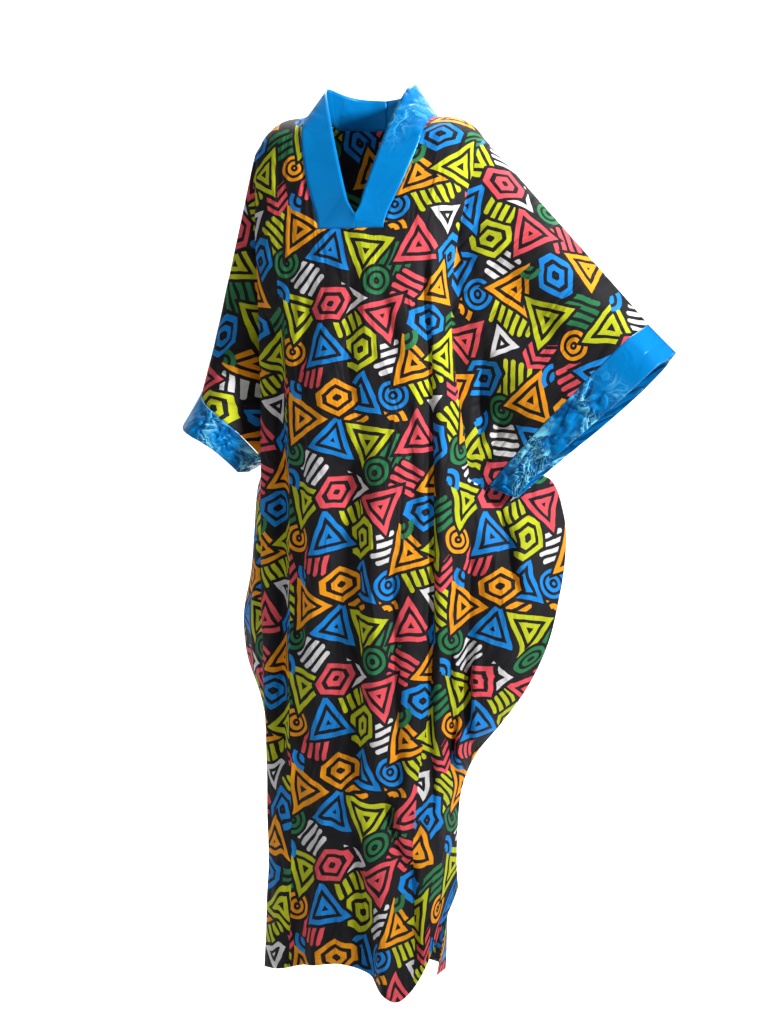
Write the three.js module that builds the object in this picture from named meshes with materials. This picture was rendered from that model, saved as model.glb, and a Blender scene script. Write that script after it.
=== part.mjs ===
// A free-size batwing kaftan as it hangs when worn, hollow, with its left arm spread and its right arm down.
// It is cut as a printed front and a printed back with their sleeves in one piece, two satin cuffs,
// and a satin neck band in two halves that meet at the middle of the front and of the back.
// Millimetres. X runs to the garment's left, the front faces -Y, Z is up, and the origin is
// the middle of the neck on the shoulder line.
import * as THREE from "three";

const WALL = 2; // cloth with its turned seams
const SEAM_GAP = 0.3; // between two pieces that are sewn together
const LENGTH = 1430; // shoulder to hem
const NECK_DROP = 190; // shoulder to the lower edge of the neck band
const SLEEVE_OPENING = 390; // half of the way round a cuff
const UNDERARM_DROP = 590; // where the sleeve's lower end lies against the body
const SLIT_DROP = 1235; // the side seams are open below this
const SHOULDER_ROUND = 50; // how far down the cloth turns over the shoulder
const CUFF_DEPTH = 64;
const CUFF_LOW = 0.75; // the cuff is pushed up to this share of its depth at the underarm
const CUFF_CLEAR = 2; // how far the cuff stands off at the underarm, where both sheets turn
const CUFF_END = 0.96; // the cuff closes this far round the opening, just short of the underarm
const BAND_GAP = 0.4; // the neck band stands this far inside the edge of the neck
const NECK_LEAD = 40; // the cloth turns over sooner towards the nape

const FRONT = { name: "front", way: -1 };
const BACK = { name: "back", way: 1 };

// A table's rows become objects with the names in its heading.
function table(heading, rows) {
  const names = heading.split(" ");
  return rows.map((row) => Object.fromEntries(names.map((name, i) => [name, row[i]])));
}

// A smooth value of one column, between the rows of a table.
function read(rows, key, by, at) {
  const last = rows.length - 1;
  if (at <= rows[0][by]) return rows[0][key];
  if (at >= rows[last][by]) return rows[last][key];
  const i = rows.findIndex((row) => row[by] > at) - 1;
  const slope = (a, b) => (rows[b][key] - rows[a][key]) / (rows[b][by] - rows[a][by]);
  const span = rows[i + 1][by] - rows[i][by];
  const enter = i > 0 ? slope(i - 1, i + 1) : slope(i, i + 1);
  const leave = i + 1 < last ? slope(i, i + 2) : slope(i, i + 1);
  const t = (at - rows[i][by]) / span;
  const rest = 1 - t;
  return (
    rows[i][key] * (1 + 2 * t) * rest * rest +
    enter * span * t * rest * rest +
    rows[i + 1][key] * t * t * (3 - 2 * t) -
    leave * span * t * t * rest
  );
}

// Half of the body across, at heights below the shoulder: the middle, the pressed line down the
// panel, the ridge of cloth beside it, and the valley behind the ridge where the sleeve begins.
const BODY_X = table("drop line ridge valley leftFront leftBack", [
  [0, 150, 178, 194, 1, 1],
  [60, 147, 182, 196, 1, 1],
  [140, 142, 179, 190, 1, 1],
  [260, 137, 172, 181, 1, 1],
  [400, 135, 171, 179, 1, 1],
  [600, 135, 176, 184, 0.98, 0.98],
  [800, 136, 178, 188, 0.96, 0.94],
  [950, 134, 172, 184, 0.93, 0.86],
  [1080, 130, 164, 176, 0.84, 0.74],
  [1220, 128, 160, 172, 0.8, 0.68],
  [1430, 132, 164, 176, 0.82, 0.64],
]);
// On the front of the left side the ridge and the valley lie further in below the shoulder.
const LEFT_FOLD_X = table("drop ridge valley", [
  [0, 178, 194],
  [60, 176, 190],
  [140, 163, 176],
  [220, 150, 161],
  [300, 145, 154],
  [400, 148, 158],
  [480, 157, 169],
  [560, 169, 181],
  [620, 176, 186],
  [800, 178, 188],
]);
const NECK_X = {
  front: table("drop x", [[0, 112], [50, 106], [120, 83], [190, 56], [400, 60], [1430, 60]]),
  back: table("drop x", [[0, 112], [6, 108], [18, 94], [120, 74], [1430, 62]]),
};
const NECK_OFF = 0.11; // the neck opening sits a little to the left at the shoulders
const NECK_SWAY = 4; // and at its lower edge
const V_SWAY = 13; // the point of the V hangs this far to the left
// How far each of them stands out from the middle plane of the figure.
const BODY_DEPTH = {
  front: table("drop middle line ridge valleyLeft valleyRight", [
    [0, 62, 58, 52, 48, 48],
    [60, 86, 72, 58, 50, 46],
    [120, 104, 88, 72, 54, 40],
    [200, 120, 100, 84, 54, 30],
    [290, 128, 104, 86, 52, 24],
    [400, 124, 98, 80, 48, 20],
    [520, 118, 90, 70, 44, 16],
    [640, 116, 84, 62, 38, 12],
    [800, 118, 84, 60, 38, 10],
    [1000, 122, 90, 66, 42, 24],
    [1200, 126, 96, 74, 48, 40],
    [1430, 132, 104, 82, 54, 50],
  ]),
  back: table("drop middle line ridge valleyLeft valleyRight", [
    [0, 62, 58, 52, 48, 48],
    [60, 84, 74, 64, 56, 58],
    [120, 98, 86, 74, 60, 68],
    [200, 106, 94, 80, 62, 76],
    [300, 104, 92, 80, 62, 80],
    [450, 98, 86, 76, 60, 80],
    [600, 102, 86, 76, 62, 82],
    [800, 110, 92, 80, 66, 84],
    [1000, 112, 94, 80, 66, 78],
    [1200, 108, 88, 72, 58, 72],
    [1430, 104, 84, 66, 52, 70],
  ]),
};
// The shoulder line falls towards its tips.
const SHOULDER_FALL = table("x fall", [
  [0, -14], [60, -10], [112, 0], [150, 4], [178, 21], [196, 42], [400, 42],
]);
const FALL_FADES = 240;
const RIGHT_RAISE = 12; // the right shoulder is held a little higher

// Each sleeve: where its upper fold ends at the cuff, and the line of the cuff from there round to
// the underarm, as the way in and down from that end and the places of the front and back cloth.
const ARMS = {
  left: {
    way: 1,
    cuffTop: new THREE.Vector3(463, 0, -344),
    cuffAlong: new THREE.Vector3(0.7, 0, -0.71),
    cuffAlongLow: new THREE.Vector3(0.86, 0.05, -0.3),
    line: table("part inward down front back", [
      [0, 0, 0, 0, 0],
      [0.08, 24, 23, -34, 32],
      [0.25, 70, 70, -45, 44],
      [0.5, 138, 138, -44, 44],
      [0.75, 204, 204, -36, 30],
      [0.9, 242, 244, -28, 4],
      [1, 264, 268, -18, -18],
    ]),
  },
  right: {
    way: -1,
    cuffTop: new THREE.Vector3(-306, 25, -432),
    cuffAlong: new THREE.Vector3(-0.45, 0.1, -0.7),
    cuffAlongLow: new THREE.Vector3(-0.75, -0.45, -0.5),
    line: table("part inward down front back", [
      [0, 0, 0, 25, 25],
      [0.08, 4, 8, -16, 64],
      [0.25, 22, 26, -64, 112],
      [0.5, 56, 50, -92, 138],
      [0.75, 90, 82, -74, 122],
      [0.9, 104, 112, -32, 74],
      [1, 108, 136, 14, 14],
    ]),
  },
};

// The loose cloth at each side below the sleeve: how far out its edge is, the place of the edge,
// and how far out its front and back bulge half way.
const WINGS = {
  left: table("drop edge seam lift front back", [
    [604, 246, 18, 6, -8, 44],
    [622, 286, 54, 34, 14, 74],
    [670, 316, 46, 22, -8, 76],
    [720, 324, 28, 8, -26, 68],
    [790, 316, 14, 0, -36, 60],
    [860, 300, 8, 0, -40, 56],
    [930, 268, 4, 0, -42, 56],
    [990, 226, 2, 0, -42, 58],
    [1045, 182, 0, 0, -36, 50],
    [1100, 158, 0, 0, -28, 42],
    [1160, 150, 0, 0, -24, 36],
    [1235, 148, 0, 0, -22, 32],
    [1430, 154, 2, 0, -24, 34],
  ]),
  right: table("drop edge seam lift front back", [
    [604, 216, 38, 22, -2, 66],
    [622, 236, 60, 10, 8, 84],
    [690, 250, 76, 0, 16, 92],
    [760, 258, 80, 0, 20, 96],
    [840, 272, 78, 0, 22, 96],
    [910, 262, 70, 0, 16, 92],
    [970, 234, 58, 0, 10, 84],
    [1030, 208, 46, 0, 2, 78],
    [1100, 186, 38, 0, -6, 72],
    [1235, 184, 32, 0, -10, 66],
    [1430, 190, 28, 0, -12, 62],
  ]),
};
// The hem is level but for where the front swings forward, and it is rounded up to the left slit.
const HEM_RISE = table("x rise", [
  [-206, 10],
  [-130, 20],
  [-60, 40],
  [0, 46],
  [38, 30],
  [66, 6],
  [84, -8],
  [104, 8],
  [122, 40],
  [138, 90],
  [156, 170],
]);
const SLIT_OPEN = { front: 8, back: 10 }; // how far apart the slit's edges hang at the hem
const BACK_TUCK = 44; // the back's left edge hangs this far in at the hem

// Soft waves along the sleeves, as a place round the opening.
const SLEEVE_FOLDS = {
  front: table("part width depth", [[0.3, 0.06, 7], [0.52, 0.07, -6], [0.72, 0.06, 9]]),
  back: table("part width depth", [[0.26, 0.07, 8], [0.48, 0.06, -5], [0.66, 0.07, 8]]),
};

// The larger folds. Each is a trough (or, with a negative depth, a ridge) along a line that runs
// from x at its upper end to x at its lower end.
const FOLDS = {
  front: table("xTop xLow from to width depth", [
    [18, 30, 420, 1080, 16, 9],
    [-44, -58, 330, 900, 20, -5],
    [72, 88, 520, 1180, 15, 6],
    [-92, -100, 620, 1430, 16, 5],
    [38, 92, 1040, 1180, 14, 7],
    [72, 84, 1180, 1430, 16, -10],
    [-34, -20, 980, 1430, 22, 6],
    [108, 96, 900, 1120, 12, 6],
    [136, 136, 300, 1260, 9, 7],
    [-136, -136, 300, 1120, 9, 7],
  ]),
  back: table("xTop xLow from to width depth", [
    [-14, 6, 160, 1430, 24, 11],
    [60, 78, 240, 1430, 20, 10],
    [-74, -92, 260, 1430, 22, 10],
    [112, 124, 300, 1100, 14, 8],
    [-118, -128, 320, 1200, 14, 8],
    [30, 40, 700, 1430, 18, -7],
  ]),
};
const FOLD_FADES = 110;

const rounded = (down, radius) => Math.sqrt(1 - (1 - Math.min(down / radius, 1)) ** 2);
const mix = (a, b, t) => a + (b - a) * t;
const smooth = (t) => t * t * (3 - 2 * t);
const clamp01 = (t) => Math.min(Math.max(t, 0), 1);

function foldDepth(face, x, drop) {
  return FOLDS[face.name].reduce((sum, fold) => {
    const middle = mix(fold.xTop, fold.xLow, clamp01((drop - fold.from) / (fold.to - fold.from)));
    const open = smooth(clamp01((drop - fold.from) / FOLD_FADES));
    const shut = fold.to >= LENGTH ? 1 : smooth(clamp01((fold.to - drop) / FOLD_FADES));
    return sum + fold.depth * open * shut * Math.exp(-(((x - middle) / fold.width) ** 2));
  }, 0);
}

// A point of the body between its middle and the valley. Columns 0 to 4 are the middle, the line of
// the neck's edge, the pressed line, the ridge and the valley.
const VALLEY = 4;
const EDGE = 5;
function bodyPoint(face, arm, column, drop) {
  const off = arm.way < 0 ? NECK_OFF * clamp01(1 - drop / NECK_DROP) : 0;
  const sway = face === FRONT ? arm.way * NECK_SWAY * clamp01(drop / NECK_DROP) : 0;
  const neck = read(NECK_X[face.name], "x", "drop", drop) * (1 - off) + sway;
  const stops = [0, neck, ...["line", "ridge", "valley"].map((key) => {
    const folded = face === FRONT && arm.way > 0 && key !== "line" && drop < LEFT_FOLD_X.at(-1).drop;
    return read(folded ? LEFT_FOLD_X : BODY_X, key, "drop", drop);
  })];
  const i = Math.min(Math.floor(column), VALLEY - 1);
  const x = mix(stops[i], stops[i + 1], column - i);
  const share = arm.way > 0 ? read(BODY_X, face === FRONT ? "leftFront" : "leftBack", "drop", drop) : 1;
  const depthOf = (key) => read(BODY_DEPTH[face.name], key, "drop", drop);
  const valley = depthOf(arm.way > 0 ? "valleyLeft" : "valleyRight");
  let depth;
  if (column <= 2) depth = mix(depthOf("middle"), depthOf("line"), (x / stops[2]) ** 2);
  else if (column <= 3) depth = mix(depthOf("line"), depthOf("ridge"), (column - 2) ** 1.4);
  else depth = mix(depthOf("ridge"), valley, column - 3);
  depth -= foldDepth(face, x * arm.way, drop);
  const lead = NECK_LEAD * clamp01(1 - x / NECK_X[face.name][0].x);
  const raised = arm.way < 0 ? RIGHT_RAISE * smooth(clamp01(x / SHOULDER_FALL[2].x)) : 0;
  const fall = (read(SHOULDER_FALL, "fall", "x", x) - raised) * smooth(clamp01(1 - drop / FALL_FADES));
  const y = face.way * depth * rounded(drop + lead, SHOULDER_ROUND);
  return new THREE.Vector3(x * share * arm.way, y, -drop - fall);
}

function cuffPoint(face, arm, part) {
  const inward = read(arm.line, "inward", "part", part);
  const down = read(arm.line, "down", "part", part);
  const at = new THREE.Vector3(arm.cuffTop.x - arm.way * inward, 0, arm.cuffTop.z - down);
  const y = read(arm.line, face.name, "part", part);
  const middle = (read(arm.line, "front", "part", part) + read(arm.line, "back", "part", part)) / 2;
  const turn = rounded(part * SLEEVE_OPENING, 34);
  at.y = mix(arm.cuffTop.y, middle, turn) + (y - middle) * turn;
  return at;
}

function sleeveFold(face, part, along) {
  const waves = SLEEVE_FOLDS[face.name].map((fold) =>
    fold.depth * Math.exp(-(((part - fold.part) / fold.width) ** 2)));
  return waves.reduce((sum, wave) => sum + wave, 0) * smooth(clamp01(along * 1.6)) * clamp01((1 - along) * 3);
}

// The rows of the cloth. A row in the sleeve is a part of the sleeve's opening, and the rows below
// the underarm are drops.
const SLEEVE_PARTS = [0, 0.01, 0.03, 0.066, 0.122, 0.21, NECK_DROP / UNDERARM_DROP, 0.44, 0.56, 0.7, 0.85, 1];
const LOWER_DROPS = [604, 622, 670, 730, 800, 870, 940, 1010, 1080, 1155, SLIT_DROP, 1300, 1365, LENGTH];
const ROWS = SLEEVE_PARTS.length + LOWER_DROPS.length - 1;
const FRONT_NECK_ROWS = SLEEVE_PARTS.indexOf(NECK_DROP / UNDERARM_DROP);
const BACK_NECK_ROWS = 2;
const SLIT_ROW = SLEEVE_PARTS.length + LOWER_DROPS.indexOf(SLIT_DROP);

// The columns of half a panel, and how many of them lie over the neck opening.
function spread(stops) {
  return stops.flatMap(([from, to, cells]) =>
    Array.from({ length: cells }, (_, i) => mix(from, to, i / cells)));
}
const COLUMNS = [...spread([[0, 1, 3], [1, 2, 3], [2, 3, 2], [3, 4, 2], [VALLEY, EDGE, 7]]), EDGE];
const NECK_COLUMNS = 3;

function wingPoint(face, arm, column, drop) {
  const wing = WINGS[arm.way > 0 ? "left" : "right"];
  const edgeOf = (key) => read(wing, key, "drop", drop);
  const along = column - VALLEY;
  const rest = 1 - along;
  const open = clamp01((drop - SLIT_DROP) / (LENGTH - SLIT_DROP));
  const tuck = face === BACK && arm.way > 0 ? BACK_TUCK * open : 0;
  const inner = bodyPoint(face, arm, VALLEY, drop);
  const edgeX = arm.way * (edgeOf("edge") - tuck);
  const edgeY = edgeOf("seam") + face.way * SLIT_OPEN[face.name] * open;
  const pull = 2 * edgeOf(face.name) - (inner.y + edgeY) / 2;
  const y = rest * rest * inner.y + 2 * along * rest * pull + along * along * edgeY;
  return new THREE.Vector3(mix(inner.x, edgeX, along), y, inner.z + edgeOf("lift") * along * along);
}

function clothPoint(face, arm, column, row) {
  if (row < SLEEVE_PARTS.length) {
    const part = SLEEVE_PARTS[row];
    const drop = part * UNDERARM_DROP;
    if (column <= VALLEY) return bodyPoint(face, arm, column, drop);
    const along = column - VALLEY;
    const point = bodyPoint(face, arm, VALLEY, drop).lerp(cuffPoint(face, arm, part), along);
    point.y -= face.way * sleeveFold(face, part, along);
    return point;
  }
  const drop = LOWER_DROPS[row - SLEEVE_PARTS.length];
  const point = column <= VALLEY ? bodyPoint(face, arm, column, drop) : wingPoint(face, arm, column, drop);
  const low = clamp01((drop - SLIT_DROP) / (LENGTH - SLIT_DROP));
  if (face === FRONT) point.z += read(HEM_RISE, "rise", "x", point.x) * low;
  return point;
}

// A wall between a grid of inner points and the same grid moved out, over the cells that are there.
// The two halves of a cell meet on its other diagonal where the grid runs the other way.
function wall(inner, outward, there, { closed = false, turned = false } = {}) {
  const rows = inner.length;
  const columns = inner[0].length;
  const cellColumns = closed ? columns : columns - 1;
  const positions = [];
  const put = (a, b, c) => positions.push(...a.toArray(), ...b.toArray(), ...c.toArray());
  const quad = (a, b, c, d) => {
    put(a, b, c);
    put(a, c, d);
  };
  const cell = turned ? (a, b, c, d) => quad(b, c, d, a) : quad;
  const outer = inner.map((line, r) =>
    line.map((point, c) => point.clone().addScaledVector(outward[r][c], WALL)),
  );
  const has = (r, c) => {
    if (r < 0 || r >= rows - 1) return false;
    if (!closed && (c < 0 || c >= cellColumns)) return false;
    return there(r, (c + cellColumns) % cellColumns);
  };
  for (let r = 0; r < rows - 1; r += 1) {
    for (let c = 0; c < cellColumns; c += 1) {
      if (!has(r, c)) continue;
      const next = (c + 1) % columns;
      const corners = [[r, c], [r + 1, c], [r + 1, next], [r, next]];
      const [a, b, d, e] = corners.map(([i, j]) => outer[i][j]);
      const [p, q, s, t] = corners.map(([i, j]) => inner[i][j]);
      cell(a, b, d, e);
      if (turned) quad(t, s, q, p);
      else quad(p, t, s, q);
      if (!has(r, c - 1)) quad(p, q, b, a);
      if (!has(r + 1, c)) quad(q, s, d, b);
      if (!has(r, c + 1)) quad(s, t, e, d);
      if (!has(r - 1, c)) quad(t, p, a, e);
    }
  }
  const geometry = new THREE.BufferGeometry();
  geometry.setAttribute("position", new THREE.Float32BufferAttribute(positions, 3));
  geometry.computeVertexNormals();
  return geometry;
}

// The outward direction at each point of a grid, from the cells round it.
function normals(grid, there, closed = false) {
  const rows = grid.length;
  const columns = grid[0].length;
  const found = grid.map((line) => line.map(() => new THREE.Vector3()));
  const cellColumns = closed ? columns : columns - 1;
  for (let r = 0; r < rows - 1; r += 1) {
    for (let c = 0; c < cellColumns; c += 1) {
      if (!there(r, c)) continue;
      const next = (c + 1) % columns;
      const across = grid[r + 1][next].clone().sub(grid[r][c]);
      const down = grid[r + 1][c].clone().sub(grid[r][next]);
      const face = down.cross(across).normalize();
      for (const [i, j] of [[r, c], [r + 1, c], [r + 1, next], [r, next]]) found[i][j].add(face);
    }
  }
  return found.map((line) => line.map((n) => n.normalize()));
}

// The part of a panel between two of its columns, drawn back by half a seam's gap from its neighbours.
function section(panel, from, to) {
  const { grid, outward, there, turned } = panel;
  const last = grid[0].length - 1;
  const inner = grid.map((line) => line.slice(from, to + 1).map((point) => point.clone()));
  for (const [c, way] of [[from, 1], [to, -1]]) {
    if (c === 0 || c === last) continue;
    inner.forEach((line, r) => {
      const down = grid[Math.min(r + 1, ROWS)][c].clone().sub(grid[Math.max(r - 1, 0)][c]);
      const aside = down.cross(outward[r][c]).normalize();
      if (aside.dot(grid[r][c + 1].clone().sub(grid[r][c - 1])) < 0) aside.negate();
      line[c - from].addScaledVector(aside, (way * SEAM_GAP) / 2);
    });
  }
  const away = outward.map((line) => line.slice(from, to + 1));
  return wall(inner, away, (r, c) => there(r, c + from), { turned });
}

// One panel, from its right edge through the middle to its left edge as it is worn. It is in three
// pieces that meet in the valleys: the body, and the sleeve with the loose cloth below it at each side.
function panel(face) {
  const columns = COLUMNS.length;
  const neckRows = face === FRONT ? FRONT_NECK_ROWS : BACK_NECK_ROWS;
  const half = (arm) => Array.from({ length: ROWS + 1 }, (_, row) =>
    COLUMNS.map((column) => clothPoint(face, arm, column, row)));
  const right = half(ARMS.right);
  const left = half(ARMS.left);
  const grid = right.map((line, row) => [...line.slice(1).reverse(), ...left[row]]);
  const middle = columns - 1;
  const width = 2 * columns - 1;
  const there = (r, c) => !(r < neckRows && c >= middle - NECK_COLUMNS && c < middle + NECK_COLUMNS);
  grid.forEach((line, r) => line.forEach((point, c) => {
    const sewn = r === 0 || ((c === 0 || c === width - 1) && r <= SLIT_ROW && r >= SLEEVE_PARTS.length - 1);
    if (sewn) point.y += (face.way * SEAM_GAP) / 2;
  }));
  const outward = normals(grid, there);
  if (face === BACK) outward.forEach((line) => line.forEach((n) => n.negate()));
  outward.forEach((line, r) => line.forEach((n, c) => {
    const side = c === 0 || c === width - 1;
    if (r === 0) n.setY(0).normalize();
    if (side && r >= SLEEVE_PARTS.length - 1) n.set(0, face.way, 0);
  }));
  if (face === BACK) {
    grid.forEach((line) => line.reverse());
    outward.forEach((line) => line.reverse());
  }
  const whole = {
    grid,
    outward,
    there: (r, c) => there(r, face === BACK ? width - 2 - c : c),
    turned: face === BACK,
  };
  const valley = COLUMNS.indexOf(VALLEY);
  const first = section(whole, 0, middle - valley);
  const last = section(whole, middle + valley, width - 1);
  return {
    body: section(whole, middle - valley, middle + valley),
    left: face === BACK ? first : last,
    right: face === BACK ? last : first,
  };
}

// A cuff: the loop of the sleeve's edge, front from top to underarm and back again, drawn out along the arm.
function cuff(arm) {
  const parts = [...SLEEVE_PARTS.slice(0, -1), CUFF_END];
  const loop = [
    ...parts.map((part) => [FRONT, part]),
    ...parts.slice(1, -1).reverse().map((part) => [BACK, part]),
  ];
  const steps = [SEAM_GAP * 2, CUFF_DEPTH / 3, (2 * CUFF_DEPTH) / 3, CUFF_DEPTH];
  const grid = steps.map((step) => loop.map(([face, part]) => {
    const along = arm.cuffAlong.clone().lerp(arm.cuffAlongLow, smooth(part)).normalize();
    const reach = mix(step, step * CUFF_LOW, smooth(part)) + CUFF_CLEAR * part ** 4;
    return cuffPoint(face, arm, part).addScaledVector(along, reach);
  }));
  if (arm.way < 0) grid.forEach((line) => line.reverse());
  const outward = normals(grid, () => true, true);
  return wall(grid, outward, () => true, { closed: true });
}

// The upper edge of the neck band, from the middle of the back over the shoulder and down the V.
const BAND_TOP = table("x y z", [
  [0, 68, 46],
  [28, 63, 48],
  [50, 48, 50],
  [66, 26, 54],
  [73, 8, 57],
  [75, -6, 57],
  [74, -18, 53],
  [70, -32, 43],
  [61, -50, 18],
  [47, -72, -24],
  [31, -93, -77],
  [15, -109, -130],
  [10, -114, -147],
  [5, -117, -157],
  [0, -120, -166],
]);
const BAND_ACROSS = 4;
const SWAY_FROM = 6; // the station from which the upper edge leans to the left

// A point of the neck's lower edge, between the point under the V and the corner of the opening.
function lowerEdgePoint(arm, share) {
  const corner = clothPoint(FRONT, arm, COLUMNS[NECK_COLUMNS], FRONT_NECK_ROWS).x;
  const x = mix(V_SWAY, corner, share);
  const side = x < 0 ? ARMS.right : ARMS.left;
  const reach = clothPoint(FRONT, side, COLUMNS[NECK_COLUMNS], FRONT_NECK_ROWS).x;
  return bodyPoint(FRONT, side, x / reach, NECK_DROP);
}

// Half of the neck band, from the edge of the neck of both panels up to its own upper edge.
function neckBand(arm) {
  const edge = [
    ...[0, 1, 2].map((i) => clothPoint(BACK, arm, COLUMNS[i], BACK_NECK_ROWS)),
    clothPoint(BACK, arm, COLUMNS[NECK_COLUMNS], BACK_NECK_ROWS),
    clothPoint(BACK, arm, COLUMNS[NECK_COLUMNS], 1),
    ...Array.from({ length: FRONT_NECK_ROWS + 1 }, (_, row) =>
      clothPoint(FRONT, arm, COLUMNS[NECK_COLUMNS], row),
    ),
    ...[2, 1, 0].map((i) => lowerEdgePoint(arm, COLUMNS[i] / COLUMNS[NECK_COLUMNS])),
  ];
  const grid = edge.map((low, i) => {
    const sway = V_SWAY * smooth(clamp01((i - SWAY_FROM) / (edge.length - 1 - SWAY_FROM)));
    const top = new THREE.Vector3(BAND_TOP[i].x * arm.way + sway, BAND_TOP[i].y, BAND_TOP[i].z);
    const start = low.clone().addScaledVector(top.clone().sub(low).normalize(), BAND_GAP);
    return Array.from({ length: BAND_ACROSS + 1 }, (_, k) => start.clone().lerp(top, k / BAND_ACROSS));
  });
  const last = grid.length - 1;
  const seams = [[0, 0], [last, V_SWAY]];
  for (const [i, x] of seams) grid[i].forEach((point) => point.setX(x + (arm.way * SEAM_GAP) / 2));
  if (arm.way < 0) grid.forEach((line) => line.reverse());
  const outward = normals(grid, () => true);
  for (const [i] of seams) outward[i].forEach((n) => n.setX(0).normalize());
  return wall(grid, outward, () => true);
}

const MATERIALS = {
  print: { color: 0x2a2a33, roughness: 0.85, metalness: 0 },
  satin: { color: 0x0a82d8, roughness: 0.35, metalness: 0 },
};

function piece(name, geometry, material) {
  const mesh = new THREE.Mesh(geometry, new THREE.MeshStandardMaterial(MATERIALS[material]));
  mesh.name = name;
  return mesh;
}

const kaftan = new THREE.Group();
for (const face of [FRONT, BACK]) {
  const { body, left, right } = panel(face);
  kaftan.add(piece(`${face.name}_panel`, body, "print"));
  kaftan.add(piece(`${face.name}_side_left`, left, "print"));
  kaftan.add(piece(`${face.name}_side_right`, right, "print"));
}
kaftan.add(piece("neck_band_left", neckBand(ARMS.left), "satin"));
kaftan.add(piece("neck_band_right", neckBand(ARMS.right), "satin"));
kaftan.add(piece("cuff_left", cuff(ARMS.left), "satin"));
kaftan.add(piece("cuff_right", cuff(ARMS.right), "satin"));

export default kaftan;
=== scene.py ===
import math

import bmesh
import bpy
import numpy as np
from mathutils import Matrix, Vector, noise


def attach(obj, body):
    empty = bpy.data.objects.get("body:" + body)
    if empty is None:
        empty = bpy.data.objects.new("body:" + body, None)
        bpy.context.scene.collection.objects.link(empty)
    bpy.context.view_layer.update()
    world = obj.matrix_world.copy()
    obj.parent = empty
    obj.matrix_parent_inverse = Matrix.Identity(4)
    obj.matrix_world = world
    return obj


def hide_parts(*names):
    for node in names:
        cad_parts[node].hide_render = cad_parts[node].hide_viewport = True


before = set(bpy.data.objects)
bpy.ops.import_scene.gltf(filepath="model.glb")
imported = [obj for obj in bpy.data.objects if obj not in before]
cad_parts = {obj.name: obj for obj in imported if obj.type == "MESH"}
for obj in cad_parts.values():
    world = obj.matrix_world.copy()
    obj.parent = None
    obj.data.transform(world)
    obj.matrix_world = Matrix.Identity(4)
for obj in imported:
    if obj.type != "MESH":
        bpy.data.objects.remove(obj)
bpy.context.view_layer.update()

# Sizes of the garment are in millimetres up to the meshes, which are in metres.
MM = 0.001
STITCH = 4.2  # from one stitch to the next
THREAD = (1.35, 0.36, 0.3)  # half of a stitch's length, width and height
HEM = 14  # how far the rows of stitching at the hem and along the slits lie from the edge
CLOTH = 1.2  # thickness of the printed cotton
BAND_CLOTH = 1.6  # thickness of the doubled satin

# Heights are given as drops, measured down from the shoulder line.
LENGTH = 1430
NECK_DROP = 190  # the lowest part of the neck opening at the front
NAPE_DROP = 17.7  # and at the back
UNDERARM_DROP = 590
WING_TOP = 604  # where the loose cloth at the side begins, under the sleeve
SLIT_DROP = 1235  # where the side slits begin
SHOULDER_ROUND = 50  # the cloth bends over the shoulder within this drop
NECK_LEAD = 40  # and has bent this much further at the middle
FALL_FADES = 240  # the slope of the shoulders dies away within this drop
RIGHT_RAISE = 12  # how much higher the right shoulder is
NECK_HALF = 112  # half of the neck opening's width at the shoulders
NECK_OFF = 0.11  # the share by which the opening is narrower on the right
NECK_SWAY = 4  # how far the opening leans to the left at its lowest
V_SWAY = 13  # how far its point lies to the left
SLIT_OPEN = {"front": 8, "back": 10}  # how far the slits' edges stand apart at the hem
BACK_TUCK = 44  # how far the back's left edge is drawn in at the hem
FOLD_FADES = 110  # the length over which a long fold opens or shuts
SLEEVE_OPENING = 390  # the sleeve's edge laid flat
CUFF_DEPTH = 64
CUFF_LOW = 0.75  # the cuff's depth at the underarm as a share of its depth at the top
CUFF_CLEAR = 2  # how far the cuff runs on past the underarm
SEAM_LOW = 0.96  # how far round the sleeve's edge the cuff reaches
CUFF_ROUND = 34  # the cloth bends over the sleeve's top within this length
RIDGE_CURVE = 1.4  # how late the cloth turns in between the pressed line and the ridge

OUT = {"front": -1, "back": 1}
LEFT = 1
RIGHT = -1

# Columns of half a panel, from 0 at its middle.
NECK = 1  # the edge of the neck opening
LINE = 2  # the pressed line
RIDGE = 3
VALLEY = 4
EDGE = 5


def table(heading, rows):
    """The rows as dictionaries with the names in the heading."""
    names = heading.split()
    return [dict(zip(names, row)) for row in rows]


def read(rows, key, by, at):
    """A smooth value of one column, between the rows of a table."""
    last = len(rows) - 1
    if at <= rows[0][by]:
        return rows[0][key]
    if at >= rows[last][by]:
        return rows[last][key]
    i = 0
    while rows[i + 1][by] <= at:
        i += 1

    def slope(a, b):
        return (rows[b][key] - rows[a][key]) / (rows[b][by] - rows[a][by])

    span = rows[i + 1][by] - rows[i][by]
    enter = slope(i - 1, i + 1) if i > 0 else slope(i, i + 1)
    leave = slope(i, i + 2) if i + 1 < last else slope(i, i + 1)
    t = (at - rows[i][by]) / span
    rest = 1 - t
    value = rows[i][key] * (1 + 2 * t) * rest * rest
    value += enter * span * t * rest * rest
    value += rows[i + 1][key] * t * t * (3 - 2 * t)
    return value - leave * span * t * t * rest


# Half of the body across: the pressed line, the ridge beside it and the valley behind the ridge,
# with the share of these that the front and the back of the left half keep.
BODY_X = table(
    "drop line ridge valley front back",
    [
        (0, 150, 178, 194, 1, 1),
        (60, 147, 182, 196, 1, 1),
        (140, 142, 179, 190, 1, 1),
        (260, 137, 172, 181, 1, 1),
        (400, 135, 171, 179, 1, 1),
        (600, 135, 176, 184, 0.98, 0.98),
        (800, 136, 178, 188, 0.96, 0.94),
        (950, 134, 172, 184, 0.93, 0.86),
        (1080, 130, 164, 176, 0.84, 0.74),
        (1220, 128, 160, 172, 0.8, 0.68),
        (1430, 132, 164, 176, 0.82, 0.64),
    ],
)
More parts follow.
